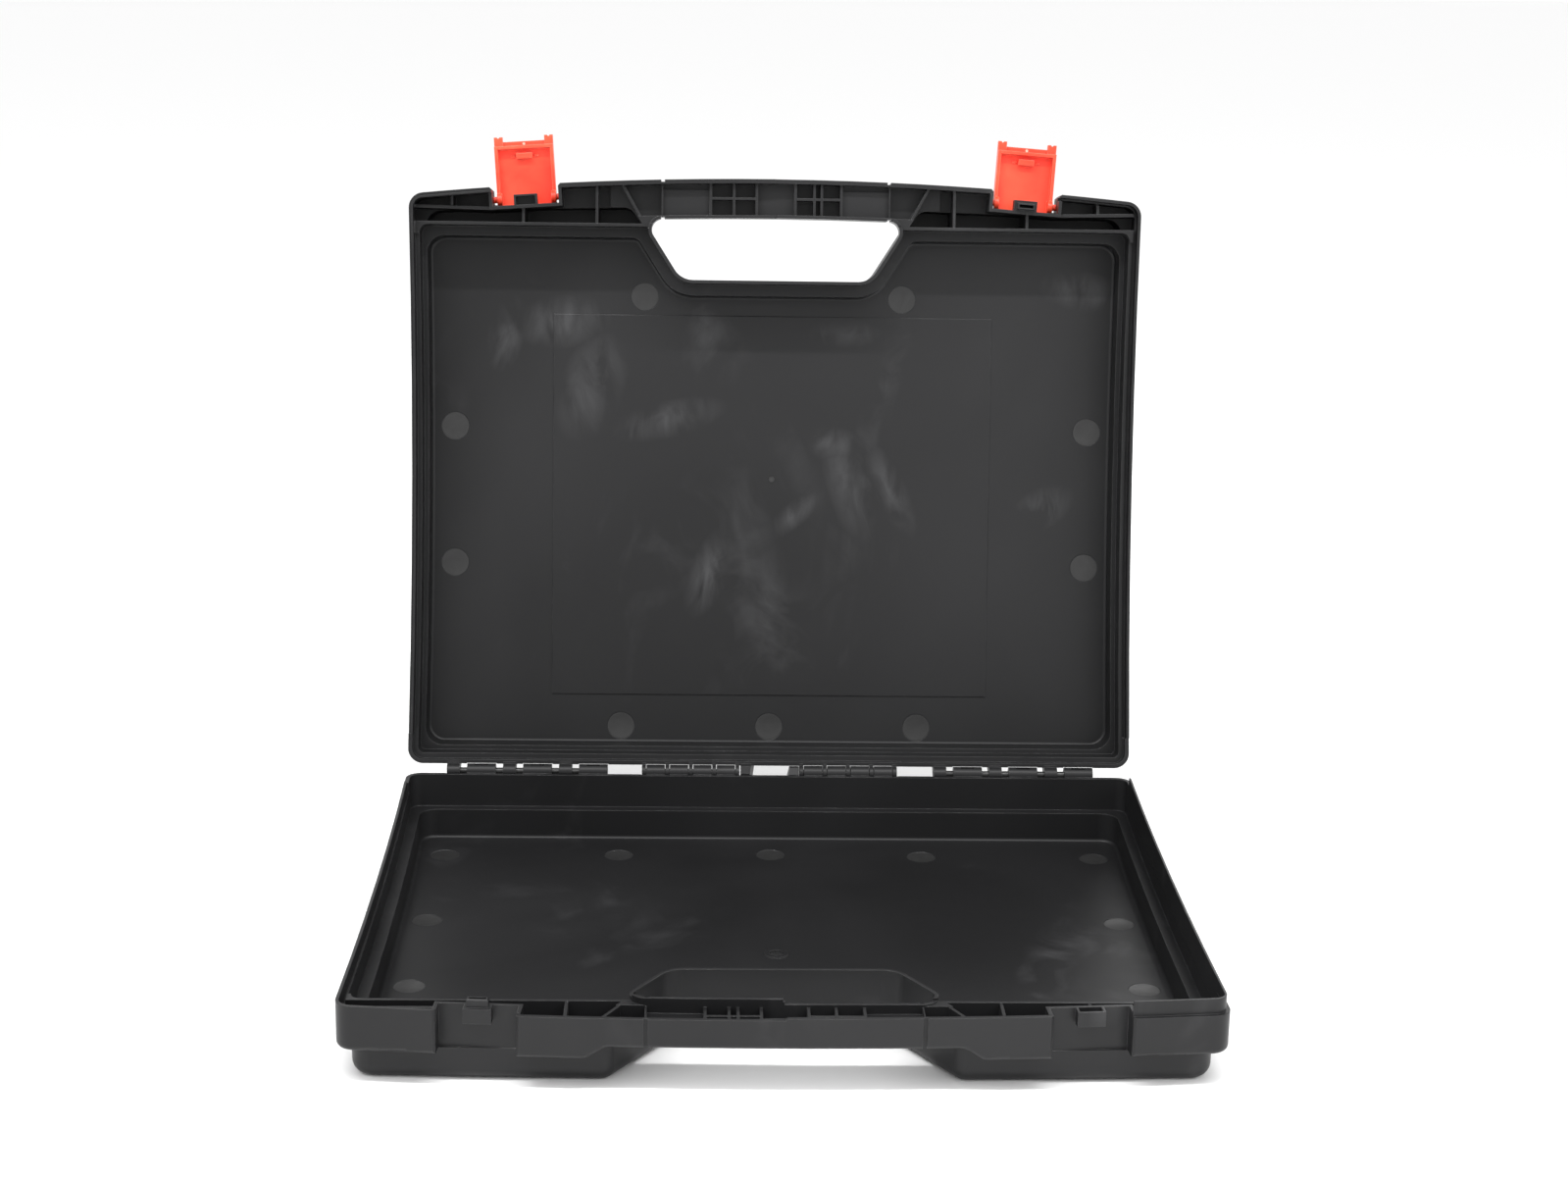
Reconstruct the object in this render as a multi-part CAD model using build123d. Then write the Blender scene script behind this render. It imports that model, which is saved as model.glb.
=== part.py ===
from build123d import *
import os
from math import atan, atan2, cos, degrees, radians, sin, tan

# Moulded carry case with a hinged lid, in millimetres, shown with the lid open.
# X runs to the right, Y to the back and Z up; the origin is the centre of the resting face.
# Each half is drawn with its rim in the XY plane and its floor below; the lid is then
# turned over, closed on the base, and swung open about the hinge axis.

# Case outline
case_width = 340.0
case_depth = 265.0
front_bow = 8.8
side_bow = 1.8
corner_radius = 7.0
half_height = 31.5
rim_gap = 0.2
lid_open_angle = 101.0

# Walls and the step between the wide rim band and the narrower box under it
wall = 2.0
floor_thickness = 2.0
band_height = 17.6
band_edge_radius = 2.5
box_inset = 4.75
box_front_inset = 5.1
box_front_bow = 3.2
box_corner_radius = 9.0
box_edge_radius = 5.5

# Tray inside each half
tray_corner_radius = 4.0
tray_floor_corner_radius = 8.0
tray_floor_radius = 1.5
tray_hole_corner_radius = 4.5
tray_front_step = 4.4
front_land = 12.3
tray_wall = 1.4
corner_stub = 2.7
corner_stub_length = 5.8
lid_shelf_depth = 4.0
lid_shelf_width = 2.5

# Ribbed space between the tray and the front wall
rib_thickness = 1.2
inner_drop = 2.0
rib_drop = 2.4
middle_wall_setback = 5.4
outer_rib_x = 150.0
pocket_rib_x = 117.0
inner_rib_x = 83.0
diagonal_rib_front_x = 72.0
diagonal_rib_back_x = 60.5

# Hand hole and grip
hole_back_setback = 38.0
hole_back_half_width = 43.8
hole_side_angle = 57.5
hole_back_radius = 10.0
hole_front_radius = 5.0
hole_ledge = 6.75
hole_wall = 1.5
grip_width = 18.0
grip_height = 12.6
grip_floor = 2.0
grip_edge_radius = 2.7
grip_web_gap = 0.4
grip_plain_depth = 7.0
grip_slope_start = 67.5
grip_slope_end = 75.0
grip_slope_radius = 6.0
grip_groove_x = 52.5
grip_groove_width = 1.7
grip_groove_depth = 1.0
grip_cell_ribs = [9.0, 19.5, 30.3]
grip_rib_pair = 3.4
grip_core_depth = 5.2
grip_core_setback = 5.0
recess_radius = 6.0

# Rim tongue on one side of each half and groove on the other
tongue_inset = 1.6
tongue_thickness = 0.9
tongue_height = 5.0
tongue_clearance = 0.3
shoulder_drop = 1.2
front_step = 0.5
lip_depth = 6.4
tongue_rear_margin = 14.0
tongue_end_margin = 0.6

# Latch pockets
pocket_x = 116.4
pocket_width = 30.6
pocket_depth = 9.0
pocket_wall = 1.5
pocket_chamfer = 1.2
catch_width = 10.8
catch_reach = 4.8
catch_wall = 0.9
catch_bottom = 6.1
spigot_height = 3.4
spigot_chamfer = 0.5

# Latches
latch_width = 27.4
latch_plate = 1.8
latch_flange = 1.5
latch_flange_reach = 6.0
latch_length = 24.6
latch_pivot_depth = 5.5
latch_pivot_height = 12.0
latch_knuckle_radius = 3.0
latch_leg_width = 2.2
latch_pin_radius = 1.5
latch_pin_clearance = 0.08
latch_pin_recess = 0.3
latch_top_wall = 1.5
latch_lip_height = 2.2
latch_ear_width = 4.0
latch_ear_height = 4.4
latch_ear_reach = 3.4
latch_ear_notch = 1.5
latch_bar_width = 7.4
latch_bar_thickness = 2.6
latch_bar_overlap = 0.6
latch_bar_gap = 0.3
latch_stud_place = 5.4
latch_stud_width = 2.0
latch_stud_height = 0.9
latch_stud_reach = 0.8
latch_open_angle = 90.0

# Hinge
hinge_offset = 3.3
barrel_radius = 3.4
barrel_clearance = 0.4
rod_radius = 1.5
rod_base_clearance = 0.03
rod_lid_clearance = 0.08
web_height = 8.0
outer_group_start = 151.4
outer_group_shift = 228.6
outer_pitch = 26.2
outer_lug_width = 6.0
outer_frame_width = 13.4
outer_frame_offset = 9.4
outer_frame_count = 3
frame_slot_length = 6.6
frame_slot_width = 2.6
inner_group_start = 60.1
inner_pitch = 11.0
inner_barrel_width = 8.6
inner_ring_width = 1.8
inner_ring_gap = 0.3
inner_barrel_count = 4
stop_lug_width = 6.9
stop_lug_slant = 3.0
stop_reach = 4.4
stop_gap = 0.4
rod_end_gap = 0.4

# Small moulded details
drain_hole_radius = 3.0
drain_hole_y = -5.8
drain_ring_width = 2.2
drain_ring_height = 0.6
label_width = 208.0
label_length = 181.0
label_rear_margin = 30.0
label_depth = 0.6
ejector_radius = 6.5
ejector_depth = 0.25
lid_ejectors = [(150.5, 96.0), (150.5, 161.0), (71.0, 18.0), (61.0, 223.0), (0.0, 18.0)]
base_ejectors = [(150.5, 111.0), (151.0, 181.0), (150.0, 33.0), (70.0, 32.0), (0.0, 30.5)]

# Places that follow from the sizes above
rear_y = (case_depth + front_bow) / 2
corner_y = rear_y - case_depth
hinge_y = rear_y + hinge_offset
hinge_z = half_height + rim_gap / 2
tray_front_y = corner_y + front_land
hole_back_y = corner_y + hole_back_setback
pocket_turn = atan(2 * front_bow * pocket_x / (case_width / 2) ** 2)
groove_start = tongue_inset - tongue_clearance
groove_end = tongue_inset + tongue_thickness + tongue_clearance
far = case_width


def bow_at(x, bow, half_width):
    """How far a bowed front edge stands out at a distance x from the middle."""
    return bow * (1 - (x / half_width) ** 2)


def front_y(x):
    """Outer front face of the rim band at a distance x from the middle."""
    return corner_y - bow_at(x, front_bow, case_width / 2)


def bowed_outline(inset, front_inset, bow, radius):
    """Plan of a half: straight rear edge, slightly waisted sides and a bowed front."""
    half_width = case_width / 2 - inset
    rear = rear_y - inset
    front = corner_y + front_inset
    middle = (rear + front) / 2
    edges = [
        Line((-half_width, rear), (half_width, rear)),
        ThreePointArc((half_width, rear), (half_width - side_bow, middle), (half_width, front)),
        ThreePointArc((half_width, front), (0, front - bow), (-half_width, front)),
        ThreePointArc((-half_width, front), (side_bow - half_width, middle), (-half_width, rear)),
    ]
    face = make_face(edges)
    return fillet(face.vertices(), radius) if radius else face


def band_outline(inset):
    """Plan of the rim band, drawn in from its outer face by an inset."""
    radius = max(corner_radius - inset, 1.5)
    return bowed_outline(inset, inset, front_bow, radius)


def slab(face, top, bottom):
    """A plan shape carried from one height down to another."""
    return extrude(Pos(0, 0, bottom) * face, amount=top - bottom)


def plan_box(x_low, x_high, y_low, y_high):
    """A rectangle in plan given by its limits."""
    centre = Pos((x_low + x_high) / 2, (y_low + y_high) / 2)
    return centre * Rectangle(x_high - x_low, y_high - y_low)


def strip(start, end, thickness):
    """A straight wall in plan from one point to another."""
    line = Vector(*end) - Vector(*start)
    turn = degrees(atan2(line.Y, line.X))
    middle = (Vector(*start) + Vector(*end)) / 2
    return Pos(middle.X, middle.Y) * Rot(0, 0, turn) * Rectangle(line.length, thickness)


def sharp_hole_outline(margin):
    """Plan of the hand hole with square front corners: its front edge follows the grip."""
    angle = radians(hole_side_angle)
    back_y = hole_back_y + margin
    back_x = hole_back_half_width + margin / sin(angle) - margin / tan(angle)
    grip_back = corner_y + grip_width - margin
    corner_x = back_x + (back_y - grip_back) / tan(angle)
    front_corner_y = grip_back - bow_at(corner_x, front_bow, case_width / 2)
    corner_x += (grip_back - front_corner_y) / tan(angle)
    edges = [
        Line((-back_x, back_y), (back_x, back_y)),
        Line((back_x, back_y), (corner_x, front_corner_y)),
        ThreePointArc(
            (corner_x, front_corner_y),
            (0, grip_back - front_bow),
            (-corner_x, front_corner_y),
        ),
        Line((-corner_x, front_corner_y), (-back_x, back_y)),
    ]
    face = make_face(edges)
    return fillet(face.vertices().group_by(Axis.Y)[-1], hole_back_radius + margin)


def hole_outline(margin):
    """Plan of the hand hole, grown by a margin, with all its corners rounded."""
    face = sharp_hole_outline(margin)
    return fillet(face.vertices().group_by(Axis.Y)[0], hole_front_radius + margin)


def hole_surround(margin):
    """Plan of the hand hole grown by a margin and carried on through the front."""
    angle = radians(hole_side_angle)
    back_y = hole_back_y + margin
    back_x = hole_back_half_width + margin / sin(angle) - margin / tan(angle)
    front = corner_y - 2 * front_bow
    front_x = back_x + (back_y - front) / tan(angle)
    points = [(-back_x, back_y), (back_x, back_y), (front_x, front), (-front_x, front)]
    face = make_face(Polyline(*points, close=True))
    return fillet(face.vertices().group_by(Axis.Y)[-1], hole_back_radius + margin)


def box_outline(inset):
    """Plan of the lower box, with the finger recess in its front, drawn in by an inset."""
    front_inset = box_front_inset + inset
    radius = box_corner_radius - inset
    plain = bowed_outline(box_inset + inset, front_inset, box_front_bow, radius)
    shape = plain - hole_surround(inset)
    limit = corner_y + front_inset
    sharp = shape.vertices().filter_by(lambda v: v.Y < limit and abs(v.X) < pocket_x)
    return fillet(sharp, recess_radius)


def pocket_place(side):
    """Place of a latch pocket: its middle on the front face, turned to follow the bow."""
    turn = side * degrees(pocket_turn)
    return Pos(side * pocket_x, front_y(pocket_x)) * Rot(0, 0, turn)


def pocket_outline(side):
    """Plan of the open latch pocket, with its mouth a little wider than the rest."""
    half_width = pocket_width / 2
    mouth = half_width + pocket_chamfer
    points = [
        (-half_width, pocket_depth),
        (half_width, pocket_depth),
        (half_width, pocket_chamfer),
        (mouth, 0),
        (mouth, -pocket_depth),
        (-mouth, -pocket_depth),
        (-mouth, 0),
        (-half_width, pocket_chamfer),
    ]
    return pocket_place(side) * make_face(Polyline(*points, close=True))


def pocket_block(side, margin):
    """Plan of a latch pocket with its side and back walls around it."""
    half_width = pocket_width / 2 + margin
    block = plan_box(-half_width, half_width, -pocket_depth, pocket_depth + margin)
    return pocket_place(side) * block


def underside_relief():
    """Space under the grip, where the band is less deep, with softly sloped ends."""
    low = -band_height - 1
    points = [
        (-grip_slope_end - 10, low),
        (-grip_slope_end - 10, -band_height),
        (-grip_slope_end, -band_height),
        (-grip_slope_start, -grip_height),
        (grip_slope_start, -grip_height),
        (grip_slope_end, -band_height),
        (grip_slope_end + 10, -band_height),
        (grip_slope_end + 10, low),
    ]
    face = make_face(Polyline(*points, close=True))
    bends = face.vertices().filter_by(
        lambda v: v.Y > low + 0.5 and abs(v.X) < grip_slope_end + 1
    )
    face = fillet(bends, grip_slope_radius)
    upright = Plane.XZ * face
    depth = hole_back_y - corner_y + 2 * front_bow
    return extrude(Pos(0, hole_back_y, 0) * upright, amount=depth)


def rim_band_solid():
    """Solid rim band with its lower outer edge rounded all the way round."""
    outline = band_outline(0)
    band = slab(outline, 0, -band_height) - underside_relief()
    border = outline.wire()
    low = band.edges().filter_by(
        lambda e: (e @ 0.5).Z < -grip_height + 0.5
        and abs((e @ 0).Z - (e @ 1).Z) < band_height - grip_height + 0.1
        and border.distance_to(Vector((e @ 0.5).X, (e @ 0.5).Y, 0)) < 0.02
    )
    return fillet(low, band_edge_radius)


def lower_box_solid():
    """Solid lower box with a well rounded bottom edge."""
    box = slab(box_outline(0), 0, -half_height)
    bottom = box.edges().group_by(Axis.Z)[0]
    return fillet(bottom, box_edge_radius)


def side_of(face, side, margin):
    """The part of a plan shape from a latch pocket outwards, clear of the rear corners."""
    low, high = sorted((side * (pocket_x + margin), side * far))
    rear = rear_y - tongue_rear_margin - margin
    return face & plan_box(low, high, -far, rear)


def rim_ring(outer_inset, inner_inset):
    """Plan of a ring that follows the rim between two insets from the outer face."""
    return band_outline(outer_inset) - band_outline(inner_inset)


def without_pockets(face, margin):
    """A plan shape with the two latch pockets left out of it."""
    for side in (-1, 1):
        face = face - pocket_block(side, margin)
    return face


def tray_upper_outline(rim_inset):
    """Plan of the tray from the rim down to its ledge."""
    radius = max(corner_radius - rim_inset, 2)
    whole = bowed_outline(rim_inset, wall, front_bow, radius)
    front = tray_front_y + tray_wall
    whole = whole & plan_box(-far, far, front, far)
    for side in (-1, 1):
        edge = side * (case_width / 2 - wall - corner_stub)
        low, high = sorted((edge, side * far))
        whole = whole - plan_box(low, high, -far, front + corner_stub_length - tray_wall)
    front_corners = whole.vertices().group_by(Axis.Y)[0]
    whole = fillet(front_corners, tray_corner_radius)
    return whole - hole_outline(hole_wall)


def tray_lower_outline():
    """Plan of the tray below its ledge."""
    inset = box_inset + wall
    whole = bowed_outline(inset, 0, front_bow, 0)
    front = tray_front_y + tray_wall + tray_front_step
    whole = whole & plan_box(-far, far, front, far)
    whole = fillet(whole.vertices(), tray_floor_corner_radius)
    whole = whole - hole_surround(hole_ledge)
    beside_hole = whole.vertices().group_by(Axis.Y)[0]
    beside_hole = beside_hole.filter_by(lambda v: abs(v.X) < pocket_x)
    return fillet(beside_hole, tray_hole_corner_radius)


def tray_cavity(shelf_width):
    """Space of the tray: a wide upper part, a ledge, and a lower part with a round edge."""
    ledge_depth = band_height - wall
    floor_depth = half_height - floor_thickness
    space = slab(tray_upper_outline(wall), lip_depth, -lid_shelf_depth)
    upper = tray_upper_outline(wall + shelf_width)
    space += slab(upper, -lid_shelf_depth, -ledge_depth)
    lower = slab(tray_lower_outline(), -ledge_depth, -floor_depth)
    lower = fillet(lower.edges().group_by(Axis.Z)[0], tray_floor_radius)
    return space + lower


def rib_plan():
    """Plan of the straight ribs between the tray wall and the front wall."""
    ribs = Sketch()
    for side in (-1, 1):
        ribs += strip(
            (side * outer_rib_x, corner_y - front_bow),
            (side * outer_rib_x, corner_y + middle_wall_setback),
            rib_thickness,
        )
        for x in (pocket_rib_x, inner_rib_x):
            ribs += strip((side * x, corner_y - front_bow), (side * x, tray_front_y), rib_thickness)
        ribs += strip(
            (side * diagonal_rib_front_x, front_y(diagonal_rib_front_x)),
            (side * diagonal_rib_back_x, tray_front_y + tray_wall),
            rib_thickness,
        )
        ribs += strip(
            (side * grip_groove_x, corner_y - 2 * front_bow),
            (side * grip_groove_x, corner_y + grip_width),
            rib_thickness,
        )
    return ribs


def middle_wall_plan():
    """Plan of the wall from the back of each latch pocket to the side of the case."""
    walls = Sketch()
    for side in (-1, 1):
        corner = side * (pocket_width + pocket_wall) / 2
        start = (pocket_place(side) * Pos(corner, pocket_depth + pocket_wall / 2)).position
        end = (side * case_width / 2, corner_y + middle_wall_setback)
        walls += strip((start.X, start.Y), end, pocket_wall)
    return walls


def grip_cell_plan(tongue_side):
    """Plan of the grip's cross ribs, doubled once, and the rib along its middle."""
    middle_y = corner_y - front_bow + grip_width / 2
    ribs = Sketch()
    inner, middle, outer = grip_cell_ribs
    for side in (-1, 1):
        pair = [middle - grip_rib_pair / 2, middle + grip_rib_pair / 2]
        for x in [inner, outer] + ([middle] if side == tongue_side else pair):
            ribs += strip(
                (side * x, corner_y - 2 * front_bow),
                (side * x, corner_y + grip_width),
                rib_thickness,
            )
        ribs += strip((side * inner, middle_y), (side * outer, middle_y), rib_thickness)
    return ribs


def front_space_plan():
    """Plan of the space between the tray wall, the hand hole and the front wall."""
    space = band_outline(wall) & plan_box(-far, far, -far, tray_front_y)
    return without_pockets(space - sharp_hole_outline(hole_wall), pocket_wall)


def front_spaces(tongue_side):
    """The ribbed spaces along the front, moulded as deep as the outside allows."""
    ledge_depth = band_height - wall
    grip_depth = grip_height - grip_floor
    floor_depth = half_height - floor_thickness
    plan = front_space_plan()
    grip_zone = plan_box(-grip_groove_x, grip_groove_x, -far, corner_y + grip_width)
    block_zone = plan - plan_box(-grip_slope_end - wall, grip_slope_end + wall, -far, far)
    beside_grip = plan - grip_zone
    ribs = rib_plan()
    walls = middle_wall_plan()
    space = slab(beside_grip - walls, lip_depth, -rib_drop)
    space += slab(beside_grip - walls - ribs, -rib_drop, -grip_depth)
    space += slab(block_zone - walls - ribs, -grip_depth, -ledge_depth)
    inside_box = box_outline(wall)
    box_plan = inside_box & plan_box(-far, far, -far, tray_front_y)
    box_plan = without_pockets(box_plan - sharp_hole_outline(hole_wall), pocket_wall)
    space += slab(box_plan - ribs - walls, -grip_depth, -floor_depth)
    under_ledge = plan_box(-far, far, tray_front_y - wall, tray_front_y + tray_front_step)
    under_ledge = (inside_box & under_ledge) - hole_surround(hole_ledge)
    space += slab(under_ledge, -ledge_depth - tray_wall, -floor_depth)
    grip = plan & grip_zone
    inner, outer = grip_cell_ribs[0], grip_cell_ribs[-1]
    ribs = grip_cell_plan(tongue_side)
    core = plan_box(-far, far, corner_y - front_bow + grip_core_setback, far)
    core = core - plan_box(-outer, outer, -far, far)
    space += slab(grip, lip_depth, -rib_drop)
    space += slab(grip - ribs, -rib_drop, -grip_core_depth)
    space += slab(grip - ribs - core, -grip_core_depth, -grip_plain_depth)
    cells = plan_box(-outer, outer, -far, far) - plan_box(-inner, inner, -far, far)
    space += slab((grip & cells) - ribs, -grip_plain_depth, -grip_depth)
    return space


def grip_grooves():
    """Shallow grooves round the outside of the grip near its two ends."""
    depth = grip_groove_depth
    grooves = Part()
    front = corner_y - bow_at(grip_groove_x, front_bow, case_width / 2)
    middle_y = front + grip_width / 2
    inner_width = grip_width - 2 * depth
    core = Box(2 * grip_groove_width, inner_width, grip_height - depth + 1)
    core = Pos(0, 0, (1 - grip_height + depth) / 2) * core
    ring_height = grip_height + 2
    ring = Pos(0, 0, (1 - grip_height - 1) / 2) * Box(grip_groove_width, 2 * grip_width, ring_height)
    for side in (-1, 1):
        grooves += Pos(side * grip_groove_x, middle_y, 0) * (ring - core)
    return grooves


def cut_hand_hole(body):
    """Cut the hand hole, and round the grip's lower edge on the hole's side."""
    web_bottom = grip_web_gap + grip_edge_radius - grip_height
    body -= slab(sharp_hole_outline(0), web_bottom, -half_height - 1)
    border = sharp_hole_outline(0).wire()
    edges = body.edges().filter_by(
        lambda e: abs((e @ 0.5).Z + grip_height) < 0.01
        and abs((e @ 0.5).X) < 1
        and border.distance_to(Vector((e @ 0.5).X, (e @ 0.5).Y, 0)) < 0.02
    )
    body = fillet(edges, grip_edge_radius)
    return body - slab(hole_outline(0), 1, web_bottom)


def catch_box(side, has_spigot):
    """Hollow block in a pocket, with a socket or a hollow spigot for its mouth."""
    half_width = catch_width / 2
    front = pocket_depth - catch_reach
    outer = plan_box(-half_width, half_width, front, pocket_depth + pocket_wall / 2)
    box = slab(outer, 0, -catch_bottom)
    half_width -= catch_wall
    mouth = plan_box(-half_width, half_width, front + catch_wall, pocket_depth)
    if has_spigot:
        shape = offset(mouth, -tongue_clearance)
        spigot = slab(shape, spigot_height, -catch_bottom / 2)
        box += chamfer(spigot.edges().group_by(Axis.Z)[-1], spigot_chamfer)
        mouth = offset(shape, -catch_wall)
    box -= slab(mouth, spigot_height + 1, catch_wall - catch_bottom)
    return pocket_place(side) * box


def rim_joint(body, tongue_side):
    """Give the rim its tongue on one side and its groove on the other."""
    brim = side_of(rim_ring(0, groove_start), -tongue_side, tongue_end_margin)
    body += slab(brim, shoulder_drop - rim_gap, -wall)
    groove = side_of(rim_ring(groove_start, groove_end), -tongue_side, 0)
    body -= slab(groove, 1, -tongue_height - tongue_clearance)
    end = tongue_inset + tongue_thickness
    tongue = side_of(rim_ring(tongue_inset, end), tongue_side, tongue_end_margin)
    body += slab(tongue, tongue_height, -lip_depth)
    shoulder = side_of(rim_ring(-wall, tongue_inset), tongue_side, 0)
    return body - slab(shoulder, 1, -shoulder_drop)


def step_plans(margin):
    """Plans of the stepped rim at the middle, in front of the grip's cells and behind them."""
    front = without_pockets(rim_ring(0, wall + margin), 0)
    front = front & plan_box(-far, far, -far, corner_y + grip_width)
    behind = hole_outline(hole_wall + margin) - hole_outline(0)
    reach = corner_y + grip_width / 2 + grip_edge_radius + margin
    return front, behind & plan_box(-far, far, -far, reach)


def middle_step(body, tongue_side):
    """Step the rim where it meets the other half: one way in front, the other at the hole."""
    raised = step_plans(0)
    lowered = step_plans(tongue_clearance)
    sides = (tongue_side, -tongue_side)
    steps = (front_step, shoulder_drop)
    for high_plan, low_plan, side, step in zip(raised, lowered, sides, steps):
        low, high = sorted((side * tongue_end_margin, side * pocket_x))
        body += slab(high_plan & plan_box(low, high, -far, far), step - rim_gap, -wall)
        low, high = sorted((0, -side * pocket_x))
        body -= slab(low_plan & plan_box(low, high, -far, far), 1, -step)
    return body


def lowered_walls():
    """The top of the walls and ribs that stand inside the rim, all a little below it."""
    plan = band_outline(groove_end) & plan_box(-far, far, -far, rear_y / 2)
    plan = plan - tray_upper_outline(wall) - hole_outline(hole_wall)
    return slab(without_pockets(plan, pocket_wall), lip_depth, -inner_drop)


def half_shell(tongue_side, shelf_width):
    """One moulded half up to its rim, without hinge lugs."""
    body = cut_hand_hole(rim_band_solid() + lower_box_solid())
    body -= tray_cavity(shelf_width)
    body -= front_spaces(tongue_side)
    body = middle_step(rim_joint(body, tongue_side), tongue_side)
    body -= lowered_walls()
    body -= grip_grooves()
    for side in (-1, 1):
        body -= slab(pocket_outline(side), tongue_height + 1, -band_height)
        body += catch_box(side, side != tongue_side)
    return body


def hinge_profile(radius, bore):
    """Section of a hinge lug: a barrel on a web from the rear wall."""
    back = -hinge_offset - wall / 2
    web = make_face(Polyline(
        (back, 0),
        (back, -web_height),
        (-hinge_offset, -web_height),
        (radius * cos(radians(40)), -radius * sin(radians(40))),
        (0, 0),
        close=True,
    ))
    return web + Circle(radius) - Circle(bore)


def along_hinge(profile, start, length):
    """A hinge section carried along X from a start, in the frame of a half."""
    upright = Plane.YZ * profile
    return Pos(start, hinge_y, rim_gap / 2) * extrude(upright, amount=length)


def hinge_cylinder(radius, start, length):
    """A round bar on the hinge axis."""
    return along_hinge(Circle(radius), start, length)


def stop_lug_profile():
    """Section of a stop lug: its heel meets the other half when the lid is fully open."""
    tilt = radians(lid_open_angle - 90)
    reach = barrel_radius - stop_gap
    back = -hinge_offset - wall / 2
    heel_low = -web_height / 4
    return make_face(Polyline(
        (back, 0),
        (back, -web_height),
        (-hinge_offset, -web_height),
        (stop_reach, heel_low),
        (stop_reach, reach / cos(tilt) - stop_reach * tan(tilt) - stop_gap),
        (0, reach / cos(tilt) - stop_gap),
        (-hinge_offset + stop_gap, 0),
        close=True,
    ))


def stop_lug(side):
    """Stop lug beside an inner hinge group, slanted on the side towards the middle."""
    end = inner_group_start - inner_group_length() - inner_ring_gap
    start = side * end if side < 0 else side * (end - stop_lug_width)
    lug = along_hinge(stop_lug_profile(), start, stop_lug_width)
    tip = side * (end - stop_lug_width)
    low = -web_height - 1
    high = barrel_radius + 1
    slope = make_face(Polyline(
        (tip - side * 1, low),
        (tip, low),
        (tip + side * stop_lug_slant, high),
        (tip - side * 1, high),
        close=True,
    ))
    cutter = extrude(Pos(0, hinge_y + 2 * stop_reach, 0) * (Plane.XZ * slope), amount=5 * stop_reach)
    return lug - cutter


def inner_group_length():
    """Length of an inner hinge group from its first ring to its last."""
    return inner_pitch * inner_barrel_count + inner_ring_width + inner_ring_gap


def outer_starts():
    """Where the two outer hinge groups start."""
    return [-outer_group_start, outer_group_shift - outer_group_start]


def inner_starts():
    """Where the two inner hinge groups start."""
    return [-inner_group_start, inner_group_start - inner_group_length()]


def outer_group_length():
    """Length of an outer hinge group from its first lug to its last frame."""
    pitches = outer_pitch * (outer_frame_count - 1)
    return pitches + outer_frame_offset + outer_frame_width


def base_spans():
    """Start and width of each hinge barrel that belongs to the base."""
    spans = []
    for start in outer_starts():
        for index in range(outer_frame_count):
            first = start + outer_frame_offset + index * outer_pitch
            spans.append((first, outer_frame_width))
    for start in inner_starts():
        first = start + inner_ring_width + inner_ring_gap
        for index in range(inner_barrel_count):
            spans.append((first + index * inner_pitch, inner_barrel_width))
    return spans


def lid_spans():
    """Start and width of each hinge lug that belongs to the lid."""
    spans = []
    for start in outer_starts():
        for index in range(outer_frame_count):
            spans.append((start + index * outer_pitch, outer_lug_width))
    for start in inner_starts():
        for index in range(inner_barrel_count + 1):
            spans.append((start + index * inner_pitch, inner_ring_width))
    return spans


def add_hinge(body, own_spans, other_spans, clearance):
    """Add a half's own barrels, and clear its rear wall for the other half's."""
    profile = hinge_profile(barrel_radius, rod_radius + clearance)
    body += [along_hinge(profile, start, width) for start, width in own_spans]
    gap = inner_ring_gap
    radius = barrel_radius + barrel_clearance
    reliefs = []
    for start, width in other_spans:
        reliefs.append(hinge_cylinder(radius, start - gap, width + 2 * gap))
    return body - reliefs


def frame_slots():
    """Slots in the outer base barrels, through which the rod shows."""
    slots = Part()
    for start in outer_starts():
        for index in range(outer_frame_count):
            middle = start + outer_frame_offset + index * outer_pitch + outer_frame_width / 2
            slot = Box(frame_slot_length, frame_slot_width, barrel_radius + 1)
            slots += Pos(middle, hinge_y, (barrel_radius + 1 + rim_gap) / 2) * slot
    return slots


def ejector_marks(places):
    """Shallow round marks that the moulding leaves in the tray floor."""
    marks = Part()
    floor = half_height - floor_thickness
    for x, distance in places:
        for side in (-1, 1) if x else (1,):
            mark = Pos(side * x, hinge_y - distance) * Circle(ejector_radius)
            marks += slab(mark, 1 - floor, -floor - ejector_depth)
    return marks


def base_shell():
    """The lower half: catches in its pockets, a drain hole and the wide hinge barrels."""
    body = half_shell(1, 0)
    body -= ejector_marks(base_ejectors)
    floor = half_height - floor_thickness
    ring = Pos(0, drain_hole_y) * Circle(drain_hole_radius + drain_ring_width)
    body += slab(ring, drain_ring_height - floor, -floor - floor_thickness / 2)
    hole = Pos(0, drain_hole_y) * Circle(drain_hole_radius)
    body -= slab(hole, 0, -half_height - 1)
    body = add_hinge(body, base_spans(), lid_spans(), rod_base_clearance)
    body -= frame_slots()
    body += stop_lug(1)
    return Pos(0, 0, half_height) * body


def latch_pin_holes():
    """Holes through the side walls of the lid's pockets for the latch pins."""
    holes = Part()
    radius = latch_pin_radius + latch_pin_clearance
    length = pocket_width + 2 * pocket_wall + 1
    for side in (-1, 1):
        bar = Rot(0, 90, 0) * Cylinder(radius, length)
        holes += pocket_place(side) * Pos(0, latch_pivot_depth, -latch_pivot_height) * bar
    return holes


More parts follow.
